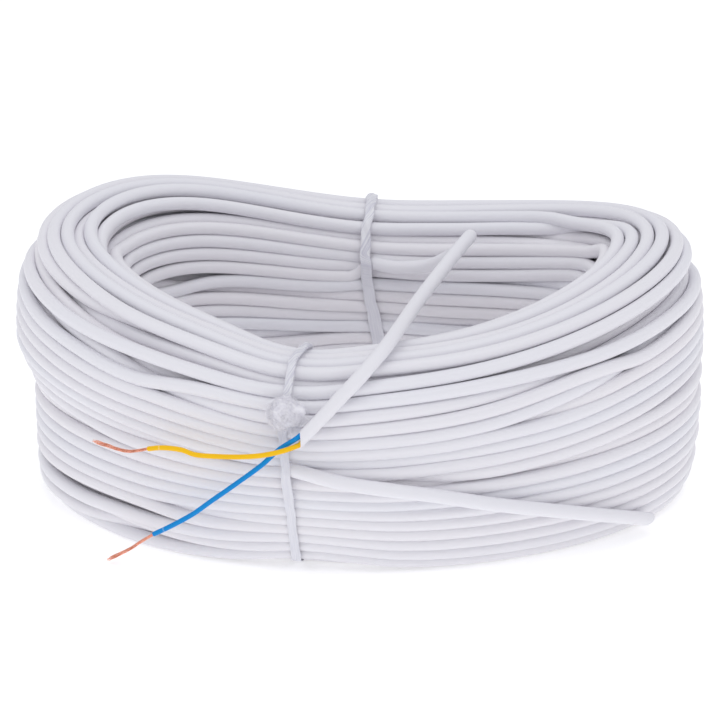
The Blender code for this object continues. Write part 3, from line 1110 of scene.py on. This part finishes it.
def make_core(hue):
    """One insulated core from inside the sheath to its stripped end."""
    diameter = bpy.context.scene.coil_cable.core_diameter
    points = smooth_route(CORES[hue][0], diameter * CORE_SPACING) + BORE_AXIS
    along = np.linspace(0, 1, len(points))
    radius = diameter / 2 * (1 + 0.018 * np.sin(along * 41) * np.sin(along * 17 + 1))
    radius[-1] *= END_NARROWING
    shape = Shape()
    surface = shape.add_tube(points, radius, CORE_SIDES, caps=(True, False))
    rim = points[-1] + (surface[-1] - points[-1]) * MOUTH_WIDTH
    inner = rim - ring_frames(points)[0][-1] * MOUTH_DEPTH
    shape.add(np.array([surface[-1], rim, inner]), list(ring_faces(3, CORE_SIDES)))
    piece = shape.make(f"{hue}_insulated_core", core_finish(hue), f"{hue}_core")


# Spacing of the strands' rings
STRAND_SPACING = 0.0008
# How far the strands reach back into the insulation
STRANDS_BACK = 0.0012
# Strands of the ring round the middle one, and that ring's size as a share of the outer one's
INNER_STRANDS, INNER_RING = 6, 0.55
# How far the bundle of strands turns from end to end, in radians
STRANDS_TWIST = 7.0


def make_strands(hue):
    """A loosely twisted bundle of copper strands that opens towards its tip."""
    cable = bpy.context.scene.coil_cable
    route, seed, splay = CORES[hue][2:]
    rng = np.random.default_rng(seed)
    points = smooth_route(route, STRAND_SPACING) + BORE_AXIS
    points = np.vstack([points[:1] + unit(points[:1] - points[1:2]) * STRANDS_BACK, points])
    _, side, up = ring_frames(points)
    along = np.linspace(0, 1, len(points))
    shape = Shape()
    for k in range(cable.strands):
        inner = k <= INNER_STRANDS
        ring = (0.0 if k == 0 else INNER_RING) if inner else 1.0
        in_ring = INNER_STRANDS if inner else cable.strands - INNER_STRANDS - 1
        base = math.tau * k / in_ring + rng.uniform(-0.15, 0.15)
        reach = ring * cable.core_diameter * 0.235
        loose = rng.uniform(0.3, 1.0) * splay
        spread = reach * (1 + 0.35 * along) + loose * np.maximum(along - 0.45, 0) ** 1.6
        turn = base + along * STRANDS_TWIST + rng.uniform(-0.5, 0.5) * along
        cut = int(len(points) * rng.uniform(0.86, 1.0))
        wave = 0.00012 * np.sin(along * rng.uniform(14, 30) + rng.uniform(0, 6))
        line = points + side * (spread * np.cos(turn) + wave)[:, None] \
            + up * (spread * np.sin(turn))[:, None]
        shape.add_tube(line[:cut], cable.strand_diameter / 2, 6)
    return shape.make(f"{hue}_strands", copper_finish(), f"{hue}_copper_strands")


def make_cores():
    """The yellow and the blue core with their copper strands."""
    strands = {hue: make_strands(hue) for hue in CORES}
    for hue in CORES:
        make_core(hue)


# ---- Twine ----

def outline_of(points):
    """Corners of the tightest line round points in a plane, anticlockwise."""
    points = sorted(map(tuple, points))

    def half(run):
        chain = []
        for p in run:
            while len(chain) > 1 and ((chain[-1][0] - chain[-2][0]) * (p[1] - chain[-2][1])
                                      - (chain[-1][1] - chain[-2][1]) * (p[0] - chain[-2][0])) <= 0:
                chain.pop()
            chain.append(p)
        return chain[:-1]
    return np.array(half(points) + half(points[::-1]))


# Sides of the circle that stands for a turn, and how far beside the tie turns are looked at
OUTLINE_SIDES, SLIPS = 24, (-0.5, 0, 0.5)
# Below this height a turn at a tie is one that isn't put away
REAL_HEIGHT = 0.2
# Spacing of the twine's rings, and their sides
LOOP_SPACING, TIE_SIDES = 0.0011, 28
# Length of one turn of the twist, and how far the film's streaks, of relief and of painted highlight
# and shade, slant with it
TWIST_PITCH, STREAK_SLANT = 0.013, 0.45
# Waves along the twine, as (size, rate, start): how it strays, its width, its tilt and its folds
TWINE_STRAYING = ((0.00018, 210, 0), (0.00012, 530, 1))
WIDTH_WAVES = ((0.06, 160, 0), (0.05, 71, 0))
TILT_WAVES = ((0.10, 60, 0),)
FOLD_WAVES = ((0.7, 90, 0),)
TWIST_NARROWING = 0.14
# Size and number round the twine of the ridges of its twisted strands, its folds and its fibres
TWISTED_RIDGES, FOLD_RIDGES, FIBRE_RIDGES = (0.18, 3), (0.10, 11), (0.05, 23)
# How fast the fibres' ridges twist, how much of the ridges shows in the width, and how flat the
# twine's section is
FIBRE_TURNS, RIDGES_ACROSS, SQUASH_POWER = 1.7, 0.35, 0.7

# Height, and how far to the right the twine lies there, on the side of the tie that shows
FRONT_LEAN = ((0.0, 0.0024), (0.011, 0.0037), (0.029, 0.0023), (0.051, 0.0012), (0.070, -0.0008),
              (0.080, 0.0006), (0.089, 0.0012), (0.0955, 0.0014), (0.0985, 0.0027))
BACK_LEAN = ((0.0425, -0.0046), (0.058, -0.0017), (0.0711, 0.0007), (0.080, 0.0020),
             (0.090, 0.0028), (0.1019, 0.0021), (0.1055, 0.0010))
# For each tie: whether its outer side shows, its lean there and on the other side, between which
# heights the twist sets in, and how much of it there is on the bore's side
TIES = {
    "front": (True, FRONT_LEAN, 0.0039, (0.078, 0.086), 0.7),
    "back": (False, BACK_LEAN, 0.0004, (0.072, 0.090), 1.0),
}
# From how far inside the path to how far outside it the lean changes over
LEAN_CHANGE = (-0.010, 0.010)
# Further inside the path than this is the bore's side
BORE_SIDE = -0.012


def tie_loop(angle, away):
    """Taut loop round the turns at an angle, as points (out, up), starting under the bundle."""
    points, angles = laid_turns()
    radius = bpy.context.scene.coil_cable.diameter / 2 + away
    turn = circle(OUTLINE_SIDES)
    ring = np.stack([np.cos(turn), np.sin(turn)], axis=-1) * radius
    cloud = []
    for slip in SLIPS:
        place = (angle - angles[0]) / math.tau * STATIONS + slip
        i = int(math.floor(place)) % STATIONS
        t = place - math.floor(place)
        here = points[i] * (1 - t) + points[(i + 1) % STATIONS] * t
        here = here[(here[:, 1] < REAL_HEIGHT) & (here[:, 1] > 0)]
        cloud.append((here[:, None] + ring[None]).reshape(-1, 2))
    loop = outline_of(np.concatenate(cloud))
    start = np.argmin(loop[:, 1] + np.abs(loop[:, 0]) * 0.2)
    loop = np.roll(loop, -start, axis=0)
    return even_points(np.vstack([loop, loop[:1]]), LOOP_SPACING)[:-1]


def tie_course(name, loop):
    """How far to the right a tie's twine lies along its loop, and how twisted it is."""
    outer_shows, lean, other_lean, twist_heights, bore_twist = TIES[name]
    outside = stepped(loop[:, 0], *LEAN_CHANGE)
    shown = outside if outer_shows else 1 - outside
    slip = eased(shown * np.interp(loop[:, 1], *zip(*lean)) + (1 - shown) * other_lean, 3)
    twist = stepped(loop[:, 1], *twist_heights) * np.where(loop[:, 0] > BORE_SIDE, 1.0, bore_twist)
    return slip[:, None], twist[:, None]


def make_tie(name, angle, width):
    """A loop of film twine, twisted over the top of the bundle and flat elsewhere."""
    twine = bpy.context.scene.coil_twine
    loop = eased(tie_loop(angle, twine.clearance + twine.flat_thickness / 2), 2)
    size = len(loop)
    centre, normal = (part[0] for part in path_frame(np.array([angle])))
    along = np.array([-normal[1], normal[0], 0.0])
    outward = np.array([normal[0], normal[1], 0.0])
    up = np.array([0.0, 0.0, 1.0])
    ahead = unit(np.roll(loop, -1, 0) - np.roll(loop, 1, 0))
    facing = np.stack([ahead[:, 1], -ahead[:, 0]], axis=-1)
    reach = (np.arange(size) * LOOP_SPACING)[:, None]
    slip, twist = tie_course(name, loop)
    turn = circle(TIE_SIDES)[None]
    pitch = reach / TWIST_PITCH * math.tau

    def ridges(sort, shift):
        return sort[0] * np.cos(sort[1] * turn + shift)

    ridged = (1 + twist * ridges(TWISTED_RIDGES, -pitch)
              + (1 - twist) * ridges(FOLD_RIDGES, waves(reach, FOLD_WAVES))
              + ridges(FIBRE_RIDGES, pitch * FIBRE_TURNS))
    half_width = (width / 2) * (1 + waves(reach, WIDTH_WAVES)) * (1 - TWIST_NARROWING * twist)
    half_thick = (twine.flat_thickness * (1 - twist) + twine.twisted_thickness * twist) / 2
    cross = half_width * np.cos(turn) * (1 + (ridged - 1) * RIDGES_ACROSS)
    thick = half_thick * np.sign(np.sin(turn)) * np.abs(np.sin(turn)) ** SQUASH_POWER * ridged
    tilt = waves(reach, TILT_WAVES) * (1 - twist)
    middle = loop + facing * (half_thick - twine.flat_thickness / 2)
    flat = middle[:, None] + facing[:, None] * (thick + cross * np.sin(tilt))[..., None]
    aside = cross * np.cos(tilt) + slip + waves(reach, TWINE_STRAYING)
    points = (np.array([*centre, 0.0]) + flat[..., :1] * outward + flat[..., 1:] * up
              + aside[..., None] * along) + BORE_AXIS
    slanted = cross - reach * twist * STREAK_SLANT
    places = np.stack([np.broadcast_to(reach, cross.shape), slanted, thick], axis=-1)
    shape = Shape()
    shape.add(points, ring_faces(size, TIE_SIDES, closed=True), places, np.repeat(twist, TIE_SIDES))
    shape.make(f"{name}_twine", twine_finish(), f"{name}_tie", 75)


def make_ties():
    """Both loops of twine."""
    twine = bpy.context.scene.coil_twine
    front, back = tie_angles()
    make_tie("front", front, twine.front_width)
    make_tie("back", back, twine.back_width)


KNOT_SEED = 12
KNOT_RINGS, KNOT_SIDES = 26, 40
# How far the knot leans back, the waves that make its lumps, its size without them and theirs
KNOT_LEAN, LUMP_WAVES, LUMP_BASE, LUMP_SIZE = 0.10, 26, 0.90, 0.09
# Of the knot's loose fibres: how many stray, how far all droop, and points and sides of each
STRAY_SHARE, DROOP, FIBRE_POINTS, FIBRE_SIDES = 0.03, 0.0010, 8, 3
# How far behind the knot's middle fibres may lie, as a share of its thickness
FIBRES_BACK = 0.40


def make_knot():
    """The frayed knot: a soft lump of film with loose fibres round it."""
    twine = bpy.context.scene.coil_twine
    front, _ = tie_angles()
    rng = np.random.default_rng(KNOT_SEED)
    low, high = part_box("tie_knot")
    _, normal = (part[0] for part in path_frame(np.array([front])))
    outward = unit(np.array([normal[0], normal[1], KNOT_LEAN]))
    across = unit(np.cross((0.0, 0.0, 1.0), outward))
    upright = np.cross(outward, across)
    middle = (np.array(low) + np.array(high)) / 2 + across * twine.knot_shift
    sizes = np.array([twine.knot_width, twine.knot_thickness, twine.knot_height]) / 2

    def set_up(points):
        return (points[..., :1] * across + points[..., 1:2] * outward
                + points[..., 2:] * upright) + middle

    tilt = np.linspace(-math.pi / 2, math.pi / 2, KNOT_RINGS)[:, None]
    turn = circle(KNOT_SIDES)[None]
    ball = np.stack([np.cos(tilt) * np.cos(turn), np.sin(tilt) * np.ones_like(turn),
                     np.cos(tilt) * np.sin(turn)], axis=-1)
    lumps = np.zeros(ball.shape[:2])
    for _ in range(LUMP_WAVES):
        way = unit(rng.normal(size=3))
        rate = rng.uniform(3, 13)
        lumps += np.sin(ball @ way * rate + rng.uniform(0, 6)) / rate
    shape = Shape()
    shape.add(set_up(ball * (LUMP_BASE + LUMP_SIZE * lumps)[..., None] * sizes),
              ring_faces(KNOT_RINGS, KNOT_SIDES), None, 0.5)
    shape.make("knot_lump", fluff_finish(), "tie_knot", 89)

    shape = Shape()
    t = np.linspace(0, 1, FIBRE_POINTS)[:, None]
    for _ in range(twine.fibres):
        root = unit(rng.normal(size=3))
        root[1] = abs(root[1])
        stray = rng.uniform() < STRAY_SHARE
        drawn = rng.normal(size=3) - np.array([0.0, 0.0, 0.5])
        drawn = drawn - root * np.dot(drawn, root)
        heading = unit(unit(drawn) + root * (0.8 if stray else rng.uniform(0.0, 0.4)))
        reach = rng.uniform(0.7, 1.2) if stray else rng.uniform(0.15, 0.50)
        bend = rng.normal(size=3) * (0.20 if stray else 0.06)
        line = root * rng.uniform(0.84, 0.96) + heading * reach * t + bend * np.sin(t * math.pi)
        line = line * sizes
        line[:, 1] = np.maximum(line[:, 1], -twine.knot_thickness * FIBRES_BACK)
        line[:, 2] -= DROOP * reach * t[:, 0] ** 2
        thick = rng.uniform(0.00005, 0.00012)
        shape.add_tube(set_up(line), thick * np.linspace(1.0, 0.4, FIBRE_POINTS), FIBRE_SIDES)
    shape.make("knot_fibres", fluff_finish(), "tie_knot")


# ---- Stage ----

# Nearest and farthest that the camera sees
CLIP_START, CLIP_END = 0.05, 60.0
FLOOR_HALF_SIZE, FLOOR_DROP = 6.0, 0.0002
LIGHT_WIDTH = 1.6
KEY_PLACE, FILL_PLACE = (0.1, -0.35, 1.7), (-1.1, -0.8, 0.9)


def make_stage():
    """Camera, floor and lights."""
    stage = bpy.context.scene.coil_stage
    scene = bpy.context.scene
    target = Vector((0.0, float(BORE_AXIS[1]), stage.target_height))
    elevation = stage.camera_elevation
    lens = bpy.data.cameras.new("camera")
    lens.lens = stage.focal_length
    lens.sensor_width = 36.0
    lens.shift_y = stage.shift_up
    lens.clip_start, lens.clip_end = CLIP_START, CLIP_END
    camera = bpy.data.objects.new("camera", lens)
    away = Vector((0.0, -math.cos(elevation), math.sin(elevation)))
    camera.location = target + away * stage.camera_distance
    camera.rotation_euler = (math.pi / 2 - elevation, 0.0, 0.0)
    scene.collection.objects.link(camera)
    scene.camera = camera

    size = FLOOR_HALF_SIZE
    corners = [(-size, -size, 0), (size, -size, 0), (size, size, 0), (-size, size, 0)]
    mesh = bpy.data.meshes.new("floor")
    mesh.from_pydata(corners, [], [(0, 1, 2, 3)])
    mesh.materials.append(floor_finish())
    floor = bpy.data.objects.new("floor", mesh)
    floor.location.z = -FLOOR_DROP
    scene.collection.objects.link(floor)

    world = bpy.data.worlds.new("soft_sky")
    world.use_nodes = True
    background = world.node_tree.nodes["Background"]
    background.inputs["Color"].default_value = (*stage.sky_colour, 1.0)
    background.inputs["Strength"].default_value = stage.sky_light
    scene.world = world
    for name, place, power in (("key", KEY_PLACE, stage.key_power),
                               ("fill", FILL_PLACE, stage.fill_power)):
        light = bpy.data.lights.new(name, "AREA")
        light.shape = "SQUARE"
        light.size = LIGHT_WIDTH
        light.energy = power
        lamp = bpy.data.objects.new(name, light)
        lamp.location = place
        lamp.rotation_euler = (Vector(place) - target).to_track_quat("Z", "Y").to_euler()
        scene.collection.objects.link(lamp)
    scene.view_settings.view_transform = "Standard"
    scene.view_settings.look = "None"


# ---- Operators and panel ----

class COIL_OT_stage(bpy.types.Operator):
    """Set up the camera, floor and lights"""
    bl_idname = "coil.stage"
    bl_label = "Stage"

    def execute(self, context):
        make_stage()
        return {"FINISHED"}


class COIL_OT_free_ends(bpy.types.Operator):
    """Lay the two free ends of the cable"""
    bl_idname = "coil.free_ends"
    bl_label = "Free ends"

    def execute(self, context):
        make_free_ends()
        return {"FINISHED"}


class COIL_OT_cores(bpy.types.Operator):
    """Lay the stripped cores and their copper strands"""
    bl_idname = "coil.cores"
    bl_label = "Cores"

    def execute(self, context):
        make_cores()
        return {"FINISHED"}


class COIL_OT_winding(bpy.types.Operator):
    """Lay the turns of the winding"""
    bl_idname = "coil.winding"
    bl_label = "Winding"

    def execute(self, context):
        make_winding()
        return {"FINISHED"}


class COIL_OT_ties(bpy.types.Operator):
    """Tie the winding with two loops of twine"""
    bl_idname = "coil.ties"
    bl_label = "Ties"

    def execute(self, context):
        make_ties()
        return {"FINISHED"}


class COIL_OT_knot(bpy.types.Operator):
    """Make the frayed knot of the front tie"""
    bl_idname = "coil.knot"
    bl_label = "Knot"

    def execute(self, context):
        make_knot()
        return {"FINISHED"}


OPERATORS = (COIL_OT_stage, COIL_OT_free_ends, COIL_OT_cores, COIL_OT_winding, COIL_OT_ties,
             COIL_OT_knot)


class COIL_PT_panel(bpy.types.Panel):
    """Lists the coil's settings and the steps that make it"""
    bl_label = "Cable coil"
    bl_idname = "COIL_PT_panel"
    bl_space_type = "VIEW_3D"
    bl_region_type = "UI"
    bl_category = "Cable Coil"

    def draw(self, context):
        for name, group in SETTINGS.items():
            box = self.layout.box()
            for setting in group.__annotations__:
                box.prop(getattr(context.scene, name), setting)
        for operator in OPERATORS:
            self.layout.operator(operator.bl_idname)


def register():
    for group in SETTINGS.values():
        bpy.utils.register_class(group)
    for name, group in SETTINGS.items():
        setattr(bpy.types.Scene, name, bpy.props.PointerProperty(type=group))
    for part in (*OPERATORS, COIL_PT_panel):
        bpy.utils.register_class(part)


def unregister():
    for part in (COIL_PT_panel, *reversed(OPERATORS)):
        bpy.utils.unregister_class(part)
    for name, group in SETTINGS.items():
        delattr(bpy.types.Scene, name)
        bpy.utils.unregister_class(group)


def main():
    register()
    bpy.ops.coil.stage()
    bpy.ops.coil.free_ends()
    bpy.ops.coil.cores()
    bpy.ops.coil.winding()
    bpy.ops.coil.ties()
    bpy.ops.coil.knot()


if __name__ == "__main__":
    main()
